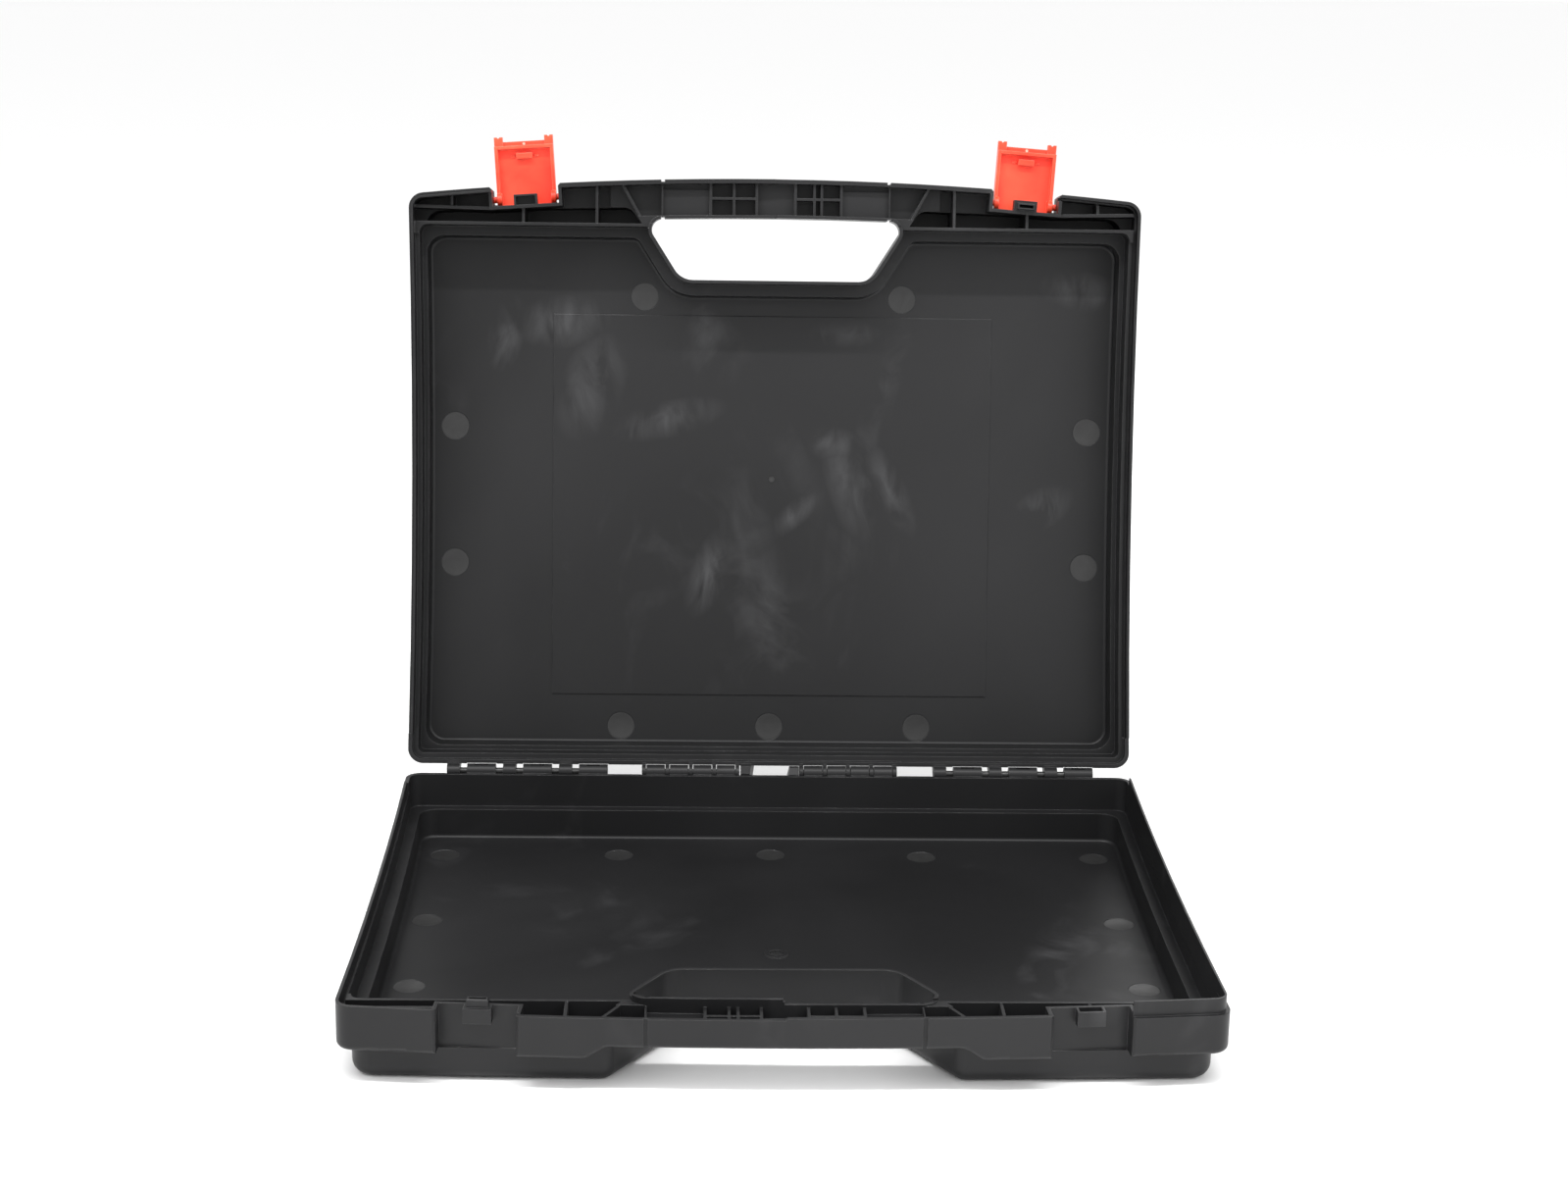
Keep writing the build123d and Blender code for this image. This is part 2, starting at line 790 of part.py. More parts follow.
def lid_half():
    """The lid in the frame of a half: hollow catches, a label recess and slim hinge lugs."""
    body = half_shell(-1, lid_shelf_width)
    floor = half_height - floor_thickness
    rear = rear_y - label_rear_margin
    label = plan_box(-label_width / 2, label_width / 2, rear - label_length, rear)
    body += slab(label, label_depth - floor, -floor - label_depth)
    body -= slab(label, label_depth - half_height, -half_height - 1)
    body -= ejector_marks(lid_ejectors)
    body -= latch_pin_holes()
    body = add_hinge(body, lid_spans(), base_spans(), rod_lid_clearance)
    return body + stop_lug(-1)


def latch_solid():
    """A latch, closed, in the frame of its pocket: a tray-shaped lever with two pins."""
    half = latch_width / 2
    pivot = -latch_pivot_height
    foot = pivot - latch_knuckle_radius
    top = pivot + latch_length
    body = slab(plan_box(-half, half, 0, latch_plate), top + latch_lip_height, foot)
    body += slab(plan_box(-half, half, 0, latch_flange_reach), top, top - latch_top_wall)
    for side in (-1, 1):
        low, high = sorted((side * half, side * (half - latch_flange)))
        body += slab(plan_box(low, high, 0, latch_flange_reach), top, pivot)
        low, high = sorted((side * half, side * (half - latch_leg_width)))
        leg = slab(plan_box(low, high, 0, latch_pivot_depth), pivot + latch_knuckle_radius, foot)
        knuckle = Rot(0, 90, 0) * Cylinder(latch_knuckle_radius, latch_leg_width)
        body += leg + Pos((low + high) / 2, latch_pivot_depth, pivot) * knuckle
        low, high = sorted((side * half, side * (half - latch_ear_width)))
        ear = plan_box(low, high, 0, latch_ear_reach)
        body += slab(ear, top + latch_ear_height, top - latch_top_wall)
        notch = Rot(0, 45, 0) * Box(latch_ear_notch, 4 * latch_ear_reach, latch_ear_notch)
        notch_x = side * (half - latch_ear_width / 2)
        body -= Pos(notch_x, 0, top + latch_ear_height + latch_ear_notch / 4) * notch
        length = (pocket_width - latch_width) / 2 + pocket_wall - latch_pin_recess
        pin = Rot(0, 90, 0) * Cylinder(latch_pin_radius, length + latch_flange)
        middle = side * (half - latch_flange / 2 + length / 2)
        body += Pos(middle, latch_pivot_depth, pivot) * pin
    bar_low = catch_bottom + rim_gap + latch_bar_gap
    bar_reach = pocket_depth - catch_reach + latch_bar_overlap
    bar = plan_box(-latch_bar_width / 2, latch_bar_width / 2, latch_plate / 2, bar_reach)
    body += slab(bar, bar_low + latch_bar_thickness, bar_low)
    stud_low = bar_low + (latch_bar_thickness - latch_stud_height) / 2
    for side in (-1, 1):
        middle = side * latch_stud_place
        low, high = middle - latch_stud_width / 2, middle + latch_stud_width / 2
        stud = plan_box(low, high, latch_plate / 2, latch_plate + latch_stud_reach)
        body += slab(stud, stud_low + latch_stud_height, stud_low)
    return body


def swing_lid(shape):
    """Turn a shape from the frame of a half to its place on the open lid."""
    closed = Pos(0, 0, half_height + rim_gap) * shape.mirror(Plane.XY)
    axis = Axis((0, hinge_y, hinge_z), (1, 0, 0))
    return closed.rotate(axis, -lid_open_angle)


def open_latch(side):
    """A latch swung out of its pocket on the open lid."""
    axis = Axis((0, latch_pivot_depth, -latch_pivot_height), (1, 0, 0))
    opened = latch_solid().rotate(axis, latch_open_angle)
    return swing_lid(pocket_place(side) * opened)


def hinge_rod(start, length):
    """A plain rod through one hinge group."""
    bar = hinge_cylinder(rod_radius, start + rod_end_gap, length - 2 * rod_end_gap)
    return Pos(0, 0, half_height) * bar


def write(shape, name):
    """Save one piece under its own name."""
    export_step(shape, "parts/" + name + ".step")


os.makedirs("parts", exist_ok=True)
write(base_shell(), "base_shell")
write(swing_lid(lid_half()), "lid_shell")
write(open_latch(-1), "latch_left")
write(open_latch(1), "latch_right")
for start, name in zip(outer_starts(), ("left", "right")):
    write(hinge_rod(start, outer_group_length()), "hinge_rod_outer_" + name)
for start, name in zip(inner_starts(), ("left", "right")):
    write(hinge_rod(start, inner_group_length()), "hinge_rod_inner_" + name)
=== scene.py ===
import math

import bmesh
import bpy
from mathutils import Matrix, Vector


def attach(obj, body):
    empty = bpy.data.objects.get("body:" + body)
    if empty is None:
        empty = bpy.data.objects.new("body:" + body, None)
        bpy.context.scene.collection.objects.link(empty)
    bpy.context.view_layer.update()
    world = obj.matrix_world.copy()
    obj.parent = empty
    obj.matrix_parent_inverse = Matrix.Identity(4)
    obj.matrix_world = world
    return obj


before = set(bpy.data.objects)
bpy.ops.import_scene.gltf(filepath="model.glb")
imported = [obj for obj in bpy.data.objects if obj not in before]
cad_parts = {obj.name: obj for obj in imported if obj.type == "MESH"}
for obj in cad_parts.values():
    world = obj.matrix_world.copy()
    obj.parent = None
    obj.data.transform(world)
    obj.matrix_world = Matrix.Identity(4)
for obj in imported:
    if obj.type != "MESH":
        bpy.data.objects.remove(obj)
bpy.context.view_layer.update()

# Base and lid, the two moulded halves.
# Each is one injection moulding in near-black polypropylene, with a satin mould finish. Flow
# marks lie cloudy on it. Rubbed smears and fingerprints are glossier and painted paler as a
# painted reflection, and a painted highlight with patches of wear runs along its edges.
SHELL_BLACK = (0.0075, 0.0075, 0.0080, 1.0)
SHELL_CLOUD = (0.0160, 0.0160, 0.0168, 1.0)
# Painted reflection: the paler colour of rubbed smears and fingerprints.
SHELL_SMEAR_AND_SHEEN = (0.0520, 0.0520, 0.0540, 1.0)
# Painted highlight along the edges, laid in patches that also stand for edge wear.
SHELL_EDGE_WEAR_AND_HIGHLIGHT = (0.1300, 0.1300, 0.1320, 1.0)
SHELL_EDGE_RADIUS = 0.00045
SHELL_ROUGHNESS = 0.42
EDGE_ROUGHNESS = 0.18
SMEAR_POLISH = 0.5
SHELL_SPECULAR = 0.30
PLASTIC_IOR = 1.49
NOISE_ROUGHNESS = 0.55
BEVEL_SAMPLES = 6
# Rubbed smears on the lid, glossier and painted paler as a painted reflection: place in X and
# Z, half width, half height and lean in degrees.
LID_SMEARS_AND_SHEEN = [
    (0.0366, 0.1560, 0.010, 0.030, -19), (0.0570, 0.1560, 0.008, 0.025, -26),
    (0.0300, 0.1770, 0.014, 0.009, 10), (0.0110, 0.1440, 0.006, 0.019, 52),
    (-0.1265, 0.2270, 0.009, 0.019, 12), (-0.1000, 0.2330, 0.024, 0.013, -8),
    (-0.0860, 0.2030, 0.016, 0.028, 20), (-0.0290, 0.1170, 0.010, 0.024, 22),
    (0.1470, 0.2500, 0.022, 0.010, 8), (0.0340, 0.2290, 0.018, 0.007, 0),
    (0.1300, 0.1480, 0.017, 0.010, -30), (-0.0500, 0.1880, 0.030, 0.009, -14),
]
# Middle and reach of the smears in Y, wide enough for the whole lean of the open lid.
SMEAR_Y = 0.19
SMEAR_REACH_Y = 0.20


def grey(value):
    """A grey as a colour."""
    return (value, value, value, 1.0)


def node(tree, kind, place, **values):
    """A node of a material tree, with its input sockets set by name."""
    made = tree.nodes.new(kind)
    made.location = place
    for name, value in values.items():
        made.inputs[name.replace("_", " ")].default_value = value
    return made


def ramp(tree, place, factor, low, high, low_colour, high_colour):
    """A colour ramp between two stops, fed by a factor."""
    made = tree.nodes.new("ShaderNodeValToRGB")
    made.location = place
    first, last = made.color_ramp.elements
    first.position, last.position = low, high
    first.color, last.color = low_colour, high_colour
    tree.links.new(factor, made.inputs["Fac"])
    return made.outputs["Color"]


def fade(tree, place, factor, first_colour, last_colour):
    """A colour that runs evenly from one to another while a factor goes from zero to one."""
    return ramp(tree, place, factor, 0.0, 1.0, first_colour, last_colour)


def cloud(tree, place, coords, scale, detail, distortion, low, high, stretch=(1, 1, 1)):
    """Noise in the object's own coordinates, kept only above a threshold."""
    squeeze = node(tree, "ShaderNodeMapping", (place[0] - 200, place[1]))
    squeeze.inputs["Scale"].default_value = stretch
    tree.links.new(coords, squeeze.inputs["Vector"])
    noise = node(tree, "ShaderNodeTexNoise", place, Scale=scale, Detail=detail,
                 Roughness=NOISE_ROUGHNESS, Distortion=distortion)
    tree.links.new(squeeze.outputs["Vector"], noise.inputs["Vector"])
    return ramp(tree, (place[0] + 200, place[1]), noise.outputs["Fac"], low, high,
                grey(0), grey(1))


def combine(tree, place, operation, first, second):
    """Two grey values put together by one operation."""
    made = node(tree, "ShaderNodeMath", place)
    made.operation = operation
    made.use_clamp = True
    tree.links.new(first, made.inputs[0])
    tree.links.new(second, made.inputs[1])
    return made.outputs["Value"]


def patch(tree, place, coords, centre, reach, lean):
    """A soft oval patch round one place, fading from its middle to its edge."""
    local = node(tree, "ShaderNodeMapping", place, Location=centre, Scale=reach,
                 Rotation=(0, math.radians(lean), 0))
    local.vector_type = "TEXTURE"
    tree.links.new(coords, local.inputs["Vector"])
    oval = node(tree, "ShaderNodeTexGradient", (place[0] + 180, place[1]))
    oval.gradient_type = "SPHERICAL"
    tree.links.new(local.outputs["Vector"], oval.inputs["Vector"])
    return oval.outputs["Fac"]


def facing(tree, place, direction):
    """One where a face of the object looks in a direction, and zero where it looks away."""
    coords = node(tree, "ShaderNodeTexCoord", place)
    across = node(tree, "ShaderNodeVectorMath", (place[0] + 200, place[1]))
    across.operation = "DOT_PRODUCT"
    across.inputs[1].default_value = direction
    tree.links.new(coords.outputs["Normal"], across.inputs[0])
    return ramp(tree, (place[0] + 400, place[1]), across.outputs["Value"], low=0.4, high=0.7,
                low_colour=grey(0), high_colour=grey(1))


def blend_colour(tree, place, factor, first, second):
    """A linked colour that gives way to a fixed one where a factor is high."""
    made = tree.nodes.new("ShaderNodeMix")
    made.data_type = "RGBA"
    made.location = place
    tree.links.new(factor, made.inputs["Factor"])
    tree.links.new(first, made.inputs["A"])
    made.inputs["B"].default_value = second
    return made.outputs["Result"]


def edge_amount(tree, place, radius, low, high):
    """How near a point is to an edge of the moulding, and the softened normal there."""
    soft = node(tree, "ShaderNodeBevel", place, Radius=radius)
    soft.samples = BEVEL_SAMPLES
    flat = node(tree, "ShaderNodeNewGeometry", (place[0], place[1] - 200))
    across = node(tree, "ShaderNodeVectorMath", (place[0] + 200, place[1] - 100))
    across.operation = "DOT_PRODUCT"
    tree.links.new(soft.outputs["Normal"], across.inputs[0])
    tree.links.new(flat.outputs["Normal"], across.inputs[1])
    shown = ramp(tree, (place[0] + 400, place[1]), across.outputs["Value"], low, high,
                 grey(1), grey(0))
    return shown, soft.outputs["Normal"]


def bumped(tree, place, height, strength, distance, normal=None):
    """A bump, on top of a normal that is already there if one is given."""
    made = node(tree, "ShaderNodeBump", place, Strength=strength, Distance=distance)
    tree.links.new(height, made.inputs["Height"])
    if normal:
        tree.links.new(normal, made.inputs["Normal"])
    return made.outputs["Normal"]


def new_plastic(name):
    """A new material: its tree, its shader and the object's own coordinates."""
    material = bpy.data.materials.new(name)
    material.use_nodes = True
    tree = material.node_tree
    shader = tree.nodes["Principled BSDF"]
    coords = node(tree, "ShaderNodeTexCoord", (-1800, 0))
    return material, tree, shader, coords.outputs["Object"]


def link_shader(tree, shader, colour, rough, normal):
    """Feed a shader its colour, its roughness and its normal."""
    tree.links.new(colour, shader.inputs["Base Color"])
    tree.links.new(rough, shader.inputs["Roughness"])
    tree.links.new(normal, shader.inputs["Normal"])


def add_lid_smears_and_sheen(tree, coords, smears_and_sheen):
    """The general smears with the lid's own rubbed smears added, on its inside only, as one mask
    for their gloss and their painted reflection.
    """
    streaks = cloud(tree, (-1400, 900), coords, scale=70.0, detail=4.0, distortion=0.9,
                    low=0.38, high=0.62, stretch=(1.0, 1.0, 0.4))
    inside = facing(tree, (-1900, 700), (0.0, -1.0, 0.0))
    streaks = combine(tree, (-1000, 900), "MULTIPLY", streaks, inside)
    for row, (x, z, wide, high, lean) in enumerate(LID_SMEARS_AND_SHEEN):
        drop = 1200 + 250 * row
        oval = patch(tree, (-1400, drop), coords, (x, SMEAR_Y, z), (wide, SMEAR_REACH_Y, high),
                     lean)
        rubbed = combine(tree, (-1000, drop), "MULTIPLY", oval, streaks)
        smears_and_sheen = combine(tree, (-800, drop), "MAXIMUM", smears_and_sheen, rubbed)
    return smears_and_sheen


def shell_material(name, with_lid_smears_and_sheen):
    """Near-black polypropylene with flow clouds, smears with a painted reflection, and glossy
    moulded edges with a painted highlight.
    """
    material, tree, shader, coords = new_plastic(name)
    flow = cloud(tree, (-1400, 500), coords, scale=5.0, detail=3.0, distortion=0.6,
                 low=0.38, high=0.72, stretch=(1.0, 1.0, 0.6))
    wipe = cloud(tree, (-1400, 200), coords, scale=13.0, detail=4.0, distortion=0.9,
                 low=0.57, high=0.80, stretch=(1.0, 0.6, 0.45))
    prints = cloud(tree, (-1400, -100), coords, scale=34.0, detail=5.0, distortion=0.9,
                   low=0.46, high=0.70)
    smears_and_sheen = combine(tree, (-900, 100), "MULTIPLY", wipe, prints)
    if with_lid_smears_and_sheen:
        smears_and_sheen = add_lid_smears_and_sheen(tree, coords, smears_and_sheen)
    flecks = cloud(tree, (-1400, -400), coords, scale=900.0, detail=2.0, distortion=0.0,
                   low=0.66, high=0.78)
    edge, soft_normal = edge_amount(tree, (-1400, -800), SHELL_EDGE_RADIUS, low=0.55, high=0.985)
    wear_and_highlight_patches = cloud(tree, (-1100, -1000), coords, scale=55.0, detail=3.0, distortion=0.5,
                 low=0.30, high=0.75)
    # Painted highlight along the edges, broken into patches of wear.
    edge_wear_and_highlight = combine(tree, (-700, -700), "MULTIPLY", edge, wear_and_highlight_patches)
    colour = fade(tree, (-900, 500), flow, SHELL_BLACK, SHELL_CLOUD)
    # Smears and fingerprints painted paler, as a painted reflection.
    colour = blend_colour(tree, (-600, 400), smears_and_sheen, colour, SHELL_SMEAR_AND_SHEEN)
    # Edges painted pale as a painted highlight, with wear.
    colour = blend_colour(tree, (-400, 400), edge_wear_and_highlight, colour, SHELL_EDGE_WEAR_AND_HIGHLIGHT)
    rubbed = fade(tree, (-800, 0), smears_and_sheen, grey(0), grey(SMEAR_POLISH))
    gloss = combine(tree, (-600, 0), "MAXIMUM", rubbed, edge)
    rough = fade(tree, (-400, 0), gloss, grey(SHELL_ROUGHNESS), grey(EDGE_ROUGHNESS))
    warp = cloud(tree, (-1400, -1300), coords, scale=16.0, detail=2.0, distortion=0.3,
                 low=0.2, high=0.8)
    normal = bumped(tree, (-300, -400), warp, strength=0.30, distance=0.0010,
                    normal=soft_normal)
    normal = bumped(tree, (-150, -400), flecks, strength=0.12, distance=0.0001, normal=normal)
    link_shader(tree, shader, colour, rough, normal)
    shader.inputs["IOR"].default_value = PLASTIC_IOR
    shader.inputs["Specular IOR Level"].default_value = SHELL_SPECULAR
    return material


def dress(name, material):
    """Give a node of the frame its one material."""
    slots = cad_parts[name].data.materials
    slots.clear()
    slots.append(material)


for name, with_lid_smears_and_sheen in (("base_shell", False), ("lid_shell", True)):
    dress(name, shell_material(name + "_polypropylene", with_lid_smears_and_sheen))

# Ejector and gate marks on the two tray floors.
# Round pins push each moulding out of its mould and leave shallow discs, polished a little
# brighter than the floor round them. The thin discs here lie in the recesses of both halves.
MARK_RADIUS = 0.0064
MARK_THICKNESS = 0.00012
MARK_RECESS = 0.00025
# The lid's discs stand this far clear of the bottom of their recesses.
LID_MARK_CLEARANCE = 0.0001
LID_GATE_RADIUS = 0.0014
LID_GATE_THICKNESS = 0.0004
LID_GATE_DISTANCE = 0.137
HINGE_Y = 0.1402
HINGE_Z = 0.0316
HALF_RIM_GAP = 0.0001
BASE_FLOOR = 0.0020
LID_FLOOR = 0.0295
LABEL_STEP = 0.0006
LID_OPEN = math.radians(101.0)
LID_TURN = math.pi - LID_OPEN
# Places of the marks: from the middle line and from the hinge, on both sides of the middle.
LID_MARKS = [(0.1505, 0.096), (0.1505, 0.161), (0.071, 0.018), (0.061, 0.223), (0.0, 0.018)]
BASE_MARKS = [(0.1505, 0.111), (0.151, 0.181), (0.150, 0.033), (0.070, 0.032), (0.0, 0.0305)]
# The form of one disc: its flat ring and the slope inside it are shares of the radius, and the
# sink of its middle is a share of the thickness.
DISC_SIDES = 48
DISC_RING = 0.12
DISC_SLOPE = 0.05
DISC_SINK = 0.4
SMOOTH_ANGLE = math.radians(35)


def mark_material():
    """The shell's plastic where an ejector pin has polished it, a little cloudy."""
    material, tree, shader, coords = new_plastic("ejector_mark")
    cloudy = cloud(tree, (-1000, 200), coords, scale=120.0, detail=3.0, distortion=0.8,
                   low=0.3, high=0.7)
    colour = fade(tree, (-500, 200), cloudy, grey(0.017), grey(0.025))
    rough = fade(tree, (-500, 0), cloudy, grey(0.44), grey(0.34))
    fine = bumped(tree, (-300, -300), cloudy, strength=0.1, distance=0.0001)
    link_shader(tree, shader, colour, rough, fine)
    shader.inputs["IOR"].default_value = PLASTIC_IOR
    return material


def on_lid(x, distance, depth):
    """A point on the open lid from its place along the hinge, its distance and its depth."""
    y, z = -distance, depth
    turn = -LID_OPEN
    return Vector((x, HINGE_Y + y * math.cos(turn) - z * math.sin(turn),
                   HINGE_Z + y * math.sin(turn) + z * math.cos(turn)))


def sides_of(x):
    """The sides that carry a mark: left and right, or the middle alone where X is zero."""
    if x == 0.0:
        return ((1, "middle"),)
    return ((-1, "left"), (1, "right"))


def moulded_disc(radius, thickness, material):
    """One thin disc with a softly raised rim, lying flat at the origin."""
    bpy.ops.object.select_all(action="DESELECT")
    bpy.ops.mesh.primitive_cylinder_add(vertices=DISC_SIDES, radius=radius, depth=thickness,
                                        location=(0, 0, 0))
    disc = bpy.context.object
    bpy.ops.object.mode_set(mode="EDIT")
    bpy.ops.mesh.select_all(action="DESELECT")
    shape = bmesh.from_edit_mesh(disc.data)
    for face in shape.faces:
        face.select = len(face.verts) > 4 and face.calc_center_median().z > 0
    bmesh.update_edit_mesh(disc.data)
    bpy.ops.mesh.inset(thickness=radius * DISC_RING)
    bpy.ops.mesh.inset(thickness=radius * DISC_SLOPE, depth=-thickness * DISC_SINK)
    bpy.ops.object.mode_set(mode="OBJECT")
    bpy.ops.object.shade_smooth_by_angle(angle=SMOOTH_ANGLE)
    disc.data.materials.append(material)
    disc.select_set(False)
    return disc


def seat(piece, name, place, turn):
    """Name a piece and carry its turn about the X axis and its place into its mesh."""
    piece.name = name
    piece.data.transform(Matrix.Translation(place) @ Matrix.Rotation(turn, 4, "X"))


def copy_of(piece):
    """A second piece of the same form, with a mesh of its own."""
    made = piece.copy()
    made.data = piece.data.copy()
    bpy.context.scene.collection.objects.link(made)
    return made


mark_plastic = mark_material()
first_mark = moulded_disc(MARK_RADIUS, MARK_THICKNESS, mark_plastic)
lid_mark_bottom = HALF_RIM_GAP + LID_FLOOR + MARK_RECESS - LID_MARK_CLEARANCE
for x, distance in LID_MARKS:
    for side, word in sides_of(x):
        disc = copy_of(first_mark)
        place = on_lid(side * x, distance, lid_mark_bottom - MARK_THICKNESS / 2)
        seat(disc, "lid_mark_%d_%s" % (round(distance * 1000), word), place, LID_TURN)
        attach(disc, "lid")
for x, distance in BASE_MARKS:
    for side, word in sides_of(x):
        disc = copy_of(first_mark)
        place = (side * x, HINGE_Y - distance, BASE_FLOOR - MARK_RECESS + MARK_THICKNESS / 2)
        seat(disc, "base_mark_%d_%s" % (round(distance * 1000), word), place, 0.0)
        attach(disc, "base")
bpy.data.objects.remove(first_mark)

# The lid's gate mark lies on the label panel, which stands inwards by LABEL_STEP.
gate = moulded_disc(LID_GATE_RADIUS, LID_GATE_THICKNESS, mark_plastic)
label_face = HALF_RIM_GAP + LID_FLOOR - LABEL_STEP
place = on_lid(0.0, LID_GATE_DISTANCE, label_face - LID_GATE_THICKNESS / 2)
seat(gate, "lid_gate_mark", place, LID_TURN)
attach(gate, "lid")

# The four hinge rods.
# Plain round bars that thread the barrels of both halves, drawn in the same black plastic and
# a little shinier, because the barrels rub on them.
ROD_BLACK = grey(0.012)
ROD_RUBBED = grey(0.030)


def rod_material():
    """Black rod plastic with rubbed bands round it."""
    material, tree, shader, coords = new_plastic("rod_polypropylene")
    bands = cloud(tree, (-1000, 200), coords, scale=90.0, detail=2.0, distortion=0.2,
                  low=0.35, high=0.65, stretch=(1.0, 0.1, 0.1))
    colour = fade(tree, (-500, 200), bands, ROD_BLACK, ROD_RUBBED)
    rough = fade(tree, (-500, 0), bands, grey(0.42), grey(0.28))
    scratch = bumped(tree, (-300, -300), bands, strength=0.15, distance=0.0001)
    link_shader(tree, shader, colour, rough, scratch)
    return material


rod_plastic = rod_material()
for name in sorted(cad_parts):
    if name.startswith("hinge_rod"):
        dress(name, rod_plastic)

# The two latches.
# Each is one moulding in vivid orange-red polypropylene, clipped into the lid's pocket on two
# short pins. The plate is thin enough to glow a little, and every edge is softly rounded.
LATCH_RED = (0.93, 0.042, 0.013, 1.0)
LATCH_LIGHT = (1.00, 0.088, 0.038, 1.0)
# Painted highlight: the paler colour along the latch edges.
LATCH_EDGE_HIGHLIGHT = (1.00, 0.260, 0.160, 1.0)
LATCH_EDGE_RADIUS = 0.0006
LATCH_GLOW = 0.10
LATCH_GLOW_DEPTH = 0.003


def latch_material():
    """Orange-red plastic with a painted highlight along its edges and a faint flow pattern."""
    material, tree, shader, coords = new_plastic("latch_polypropylene")
    flow = cloud(tree, (-1400, 300), coords, scale=45.0, detail=3.0, distortion=0.6,
                 low=0.35, high=0.65)
    edge, soft_normal = edge_amount(tree, (-1400, -300), LATCH_EDGE_RADIUS, low=0.60, high=0.99)
    colour = fade(tree, (-700, 300), flow, LATCH_RED, LATCH_LIGHT)
    # Edges painted paler as a painted highlight.
    colour = blend_colour(tree, (-400, 300), edge, colour, LATCH_EDGE_HIGHLIGHT)
    rough = fade(tree, (-400, 0), flow, grey(0.40), grey(0.30))
    normal = bumped(tree, (-200, -300), flow, strength=0.12, distance=0.0003,
                    normal=soft_normal)
    link_shader(tree, shader, colour, rough, normal)
    shader.inputs["IOR"].default_value = PLASTIC_IOR
    shader.inputs["Subsurface Weight"].default_value = LATCH_GLOW
    shader.inputs["Subsurface Scale"].default_value = LATCH_GLOW_DEPTH
    return material


latch_plastic = latch_material()
for name in ("latch_left", "latch_right"):
    dress(name, latch_plastic)

# Gate marks on the latches.
# The orange melt enters each latch at the middle of its lip, and the snipped gate leaves a
# small pale dot there, standing a little proud of the inner face.
GATE_X = 0.1178
GATE_Y = 0.2114
GATE_Z = 0.3163
GATE_RADIUS = 0.00065
GATE_THICKNESS = 0.0005
GATE_TORN = (1.0, 0.36, 0.26, 1.0)
GATE_PALE = (1.0, 0.66, 0.56, 1.0)
GATE_ROUGHNESS = 0.6


def gate_material():
    """Whitened orange plastic, as it tears when a gate is snipped."""
    material, tree, shader, coords = new_plastic("snipped_gate")
    torn = cloud(tree, (-1000, 200), coords, scale=2500.0, detail=3.0, distortion=0.5,
                 low=0.35, high=0.65)
    colour = fade(tree, (-500, 200), torn, GATE_TORN, GATE_PALE)
    tree.links.new(colour, shader.inputs["Base Color"])
    ragged = bumped(tree, (-300, -200), torn, strength=0.4, distance=0.0001)
    tree.links.new(ragged, shader.inputs["Normal"])
    shader.inputs["Roughness"].default_value = GATE_ROUGHNESS
    return material


first_dot = moulded_disc(GATE_RADIUS, GATE_THICKNESS, gate_material())
for side, word in sides_of(GATE_X):
    dot = copy_of(first_dot)
    seat(dot, "latch_gate_" + word, (side * GATE_X, GATE_Y, GATE_Z), LID_TURN)
    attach(dot, "latch_" + word)
bpy.data.objects.remove(first_dot)

# Table, light and camera.
# A plain pale table, an even white room with a narrow strip lamp overhead and three soft ones,
# and the photograph's own viewpoint: a little above the open lid, nearly in front of the case.
TABLE_SIZE = 14.0
TABLE_WHITE = 0.96
TABLE_ROUGHNESS = 0.9
ROOM_STRENGTH = 1.0
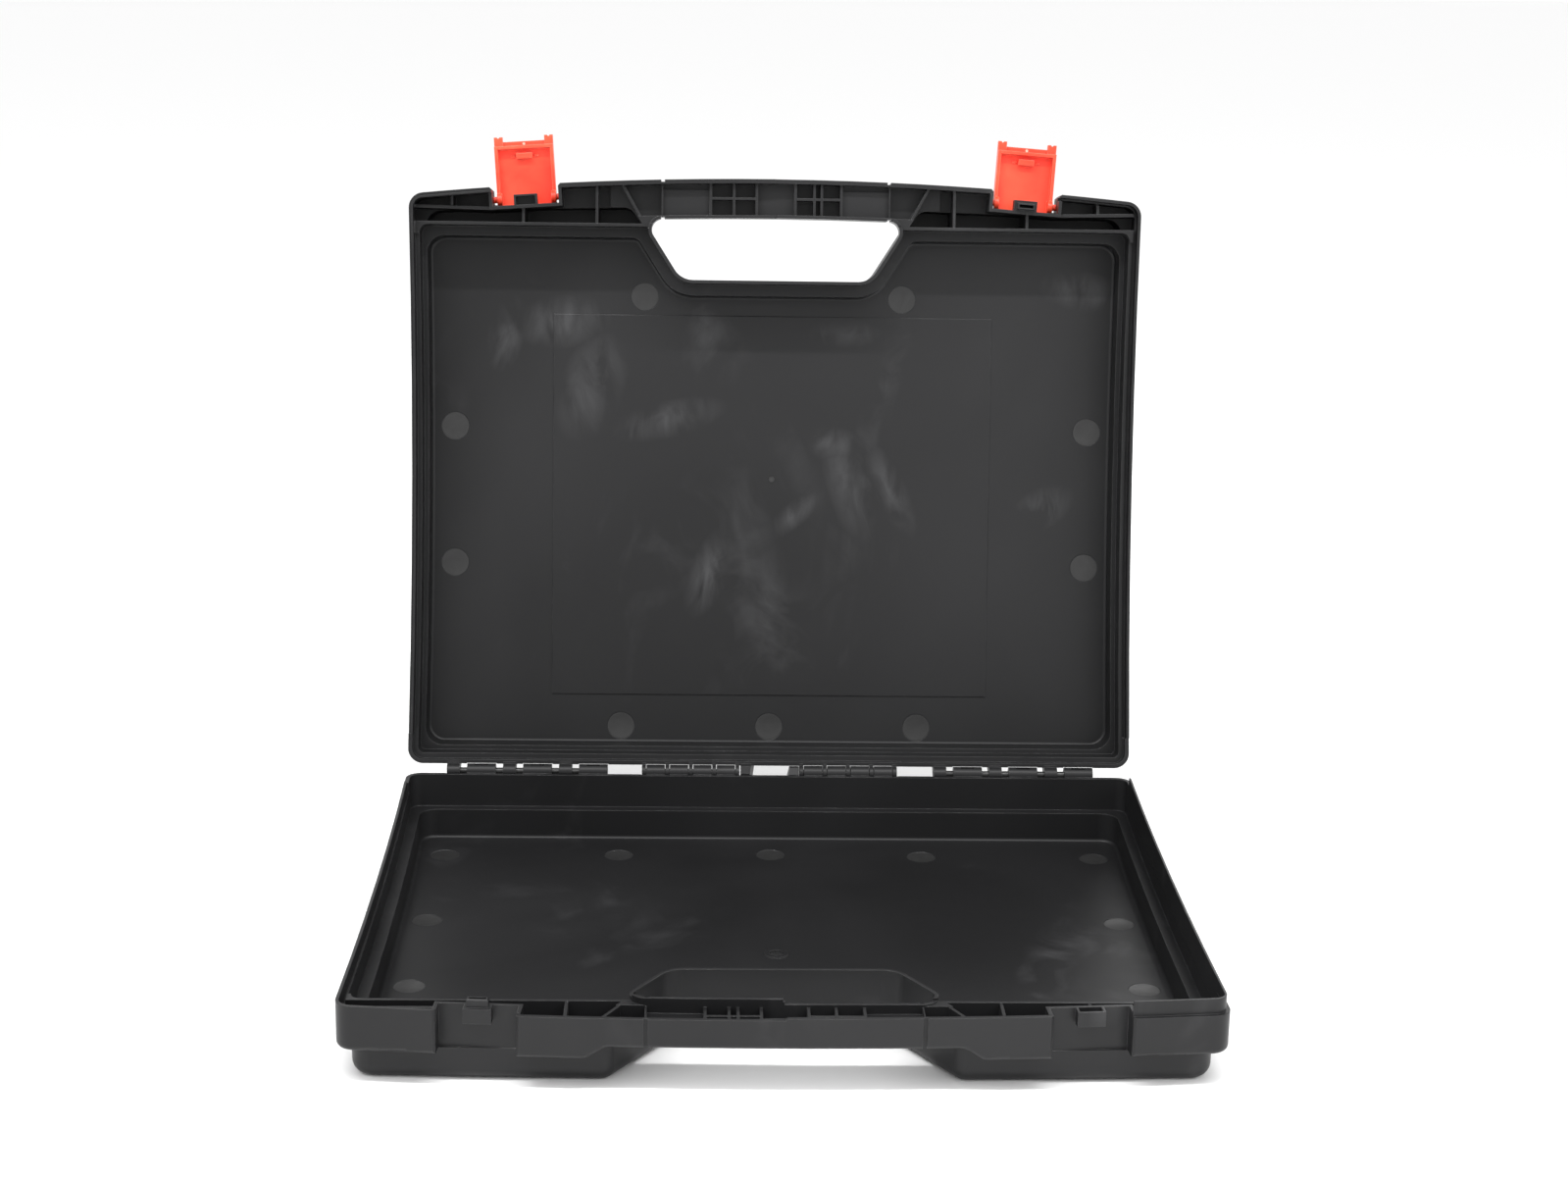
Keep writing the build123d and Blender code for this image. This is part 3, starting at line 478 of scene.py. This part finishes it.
# Each lamp: name, place, width, power in watts, the point it is aimed at, and its depth where
# it isn't square.
LAMPS = [
    ("strip_lamp", (0.0, -0.55, 1.45), 1.7, 18.0, (0, 0.1, 0.1), 0.05),
    ("key_lamp", (-0.75, -0.7, 1.35), 0.7, 7.0, (0, 0, 0.1), None),
    ("fill_lamp", (0.95, -0.9, 0.9), 0.7, 4.0, (0, 0, 0.1), None),
    ("back_lamp", (0.2, 1.3, 1.2), 0.9, 8.0, (0, 0, 0.1), None),
]
CAMERA_PLACE = Vector((-0.03398, -1.08130, 0.46243))
PITCH, YAW, ROLL = (math.radians(a) for a in (15.629, 1.837, 1.032))
FILM_WIDTH = 36.0
FOCAL_LENGTH = 62.995
NEAREST_SEEN = 0.05
FARTHEST_SEEN = 50.0


def lamp(name, place, width, power, target, depth):
    """An area lamp aimed at a point, square unless it has a depth of its own."""
    data = bpy.data.lights.new(name, "AREA")
    data.size = width
    data.energy = power
    if depth:
        data.shape = "RECTANGLE"
        data.size_y = depth
    made = bpy.data.objects.new(name, data)
    made.location = place
    aim = Vector(target) - Vector(place)
    made.rotation_euler = aim.to_track_quat("-Z", "Y").to_euler()
    bpy.context.scene.collection.objects.link(made)


bpy.ops.object.select_all(action="DESELECT")
bpy.ops.mesh.primitive_plane_add(size=TABLE_SIZE, location=(0, 0, 0))
table = bpy.context.object
table.name = "table"
table_paint = bpy.data.materials.new("pale_table")
table_paint.use_nodes = True
paint = table_paint.node_tree.nodes["Principled BSDF"]
paint.inputs["Base Color"].default_value = grey(TABLE_WHITE)
paint.inputs["Roughness"].default_value = TABLE_ROUGHNESS
table.data.materials.append(table_paint)

room = bpy.data.worlds.new("white_room")
room.use_nodes = True
sky = room.node_tree.nodes["Background"]
sky.inputs["Color"].default_value = grey(1.0)
sky.inputs["Strength"].default_value = ROOM_STRENGTH
bpy.context.scene.world = room
bpy.context.scene.view_settings.view_transform = "Standard"

for row in LAMPS:
    lamp(*row)

forward = Vector((
    math.sin(YAW) * math.cos(PITCH),
    math.cos(YAW) * math.cos(PITCH),
    -math.sin(PITCH),
))
level = Vector((math.cos(YAW), -math.sin(YAW), 0))
upright = level.cross(forward)
right = level * math.cos(ROLL) + upright * math.sin(ROLL)
up = upright * math.cos(ROLL) - level * math.sin(ROLL)
lens = bpy.data.cameras.new("camera")
lens.sensor_width = FILM_WIDTH
lens.lens = FOCAL_LENGTH
lens.clip_start = NEAREST_SEEN
lens.clip_end = FARTHEST_SEEN
camera = bpy.data.objects.new("camera", lens)
turned = Matrix((right, up, -forward)).transposed().to_4x4()
camera.matrix_world = Matrix.Translation(CAMERA_PLACE) @ turned
bpy.context.scene.collection.objects.link(camera)
bpy.context.scene.camera = camera
